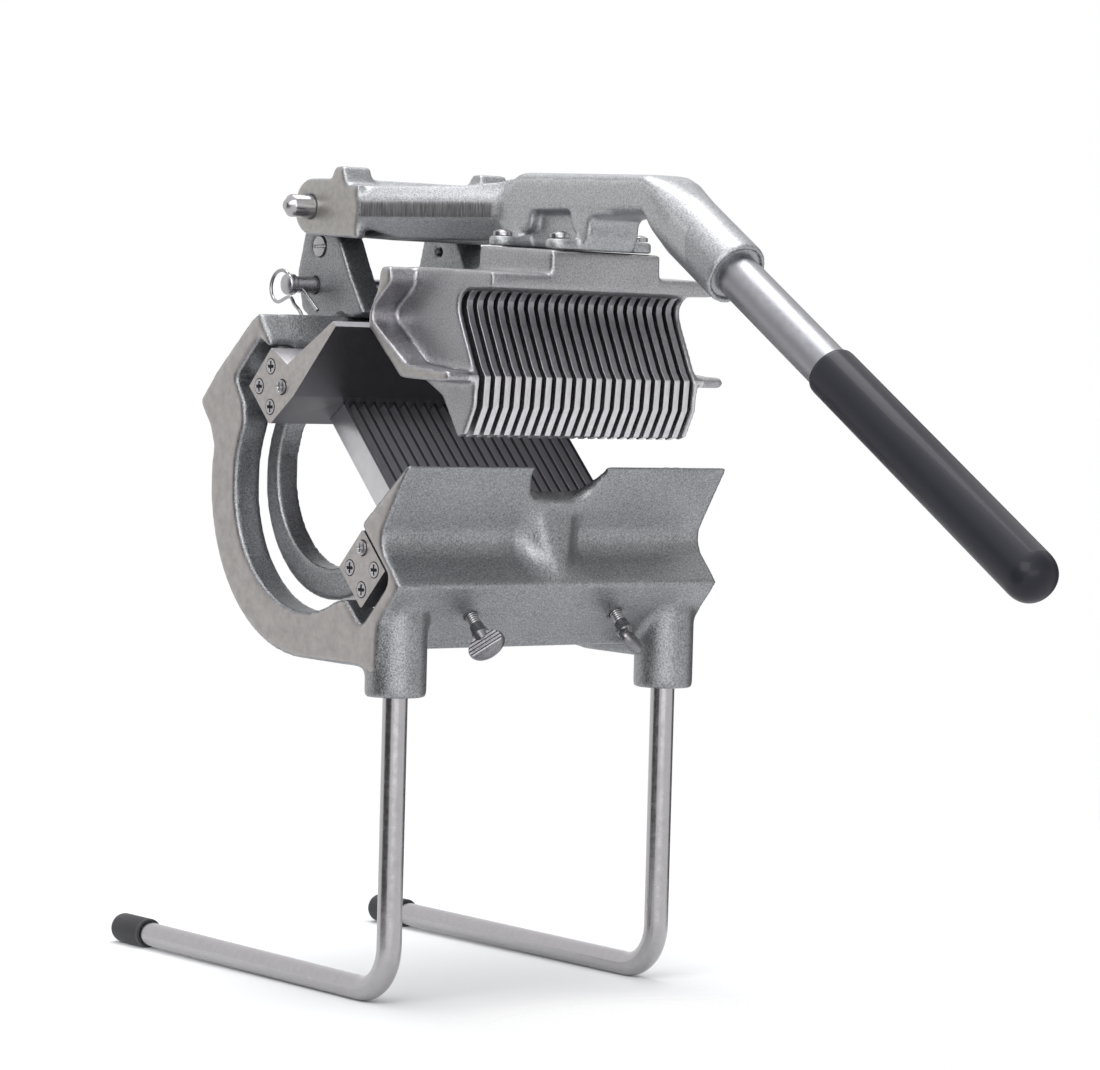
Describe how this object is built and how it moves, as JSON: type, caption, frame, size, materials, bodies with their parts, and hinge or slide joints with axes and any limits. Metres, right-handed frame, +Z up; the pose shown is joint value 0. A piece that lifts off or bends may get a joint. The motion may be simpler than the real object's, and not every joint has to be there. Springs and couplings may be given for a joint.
{
  "type": "green onion slicer",
  "caption": "Bench-top slicer with a hinged lever, a finned pusher and a removable slanted cartridge of parallel blades, on two bent rod legs.",
  "frame": {"origin": "middle of the rest-pose bounding box, on the bench", "axes": "+Z up, +X to the right of a person who holds the handle, -Y towards that person, metres"},
  "size_m": [0.2074, 0.6206, 0.4229],
  "materials": {
    "cast_aluminium": "sand-cast, satin",
    "machined_aluminium": "machined, satin",
    "blade_steel": "ground and dark",
    "stainless": "bright drawn",
    "satin_plate": "satin plated",
    "black_vinyl": "dipped, glossy",
    "grey_rubber": "matt"
  },
  "bodies": {
    "frame": {"frame_casting": "cast_aluminium", "leg_left": "stainless", "leg_right": "stainless", "leg_cap_left": "grey_rubber", "leg_cap_right": "grey_rubber", "hinge_bracket": "cast_aluminium", "hinge_rod": "stainless", "lock_screw_left": "stainless", "lock_screw_right": "stainless"},
    "lever": {"lever_casting": "cast_aluminium", "pusher_block": "machined_aluminium", "pusher_bolt_back_left": "stainless", "pusher_bolt_back_right": "stainless", "pusher_bolt_front_left": "stainless", "pusher_bolt_front_right": "stainless", "handle_tube": "satin_plate", "handle_grip": "black_vinyl"},
    "cartridge": {"upper_blade_bar": "machined_aluminium", "lower_blade_bar": "machined_aluminium", "upper_bar_screw_left": "stainless", "upper_bar_screw_right": "stainless", "lower_bar_screw_left": "stainless", "lower_bar_screw_right": "stainless", "cartridge_arm_left": "cast_aluminium", "cartridge_arm_right": "cast_aluminium", "blade_01": "blade_steel", "blade_02": "blade_steel", "blade_03": "blade_steel", "blade_04": "blade_steel", "blade_05": "blade_steel", "blade_06": "blade_steel", "blade_07": "blade_steel", "blade_08": "blade_steel", "blade_09": "blade_steel", "blade_10": "blade_steel", "blade_11": "blade_steel", "blade_12": "blade_steel", "blade_13": "blade_steel", "blade_14": "blade_steel", "blade_15": "blade_steel", "blade_16": "blade_steel", "blade_17": "blade_steel", "blade_18": "blade_steel", "blade_19": "blade_steel", "blade_20": "blade_steel", "blade_21": "blade_steel", "blade_22": "blade_steel"},
    "thumb_screw_left": {"thumb_screw_left": "stainless"},
    "thumb_screw_right": {"thumb_screw_right": "stainless"},
    "pin": {"clevis_pin": "stainless"},
    "clip": {"spring_clip": "stainless"}
  },
  "joints": [
    {"name": "lever_hinge", "type": "hinge", "parent": "frame", "child": "lever", "pos_m": [0, 0.19002, 0.4023], "axis": [1, 0, 0], "range_deg": [-45, 34]},
    {"name": "cartridge_slide", "type": "slide", "parent": "frame", "child": "cartridge", "axis": [-1, 0, 0], "range_m": [0, 0.21]},
    {"name": "thumb_screw_left_turn", "type": "hinge", "parent": "frame", "child": "thumb_screw_left", "pos_m": [-0.0464, 0.05875, 0.20587], "axis": [0, 0.7071, 0.7071], "continuous": true},
    {"name": "thumb_screw_right_turn", "type": "hinge", "parent": "frame", "child": "thumb_screw_right", "pos_m": [0.0464, 0.05875, 0.20587], "axis": [0, 0.7071, 0.7071], "continuous": true},
    {"name": "pin_slide", "type": "slide", "parent": "frame", "child": "pin", "axis": [-1, 0, 0], "range_m": [0, 0.12]},
    {"name": "clip_slide", "type": "slide", "parent": "pin", "child": "clip", "axis": [0, 0.788, 0.6157], "range_m": [0, 0.03]}
  ]
}
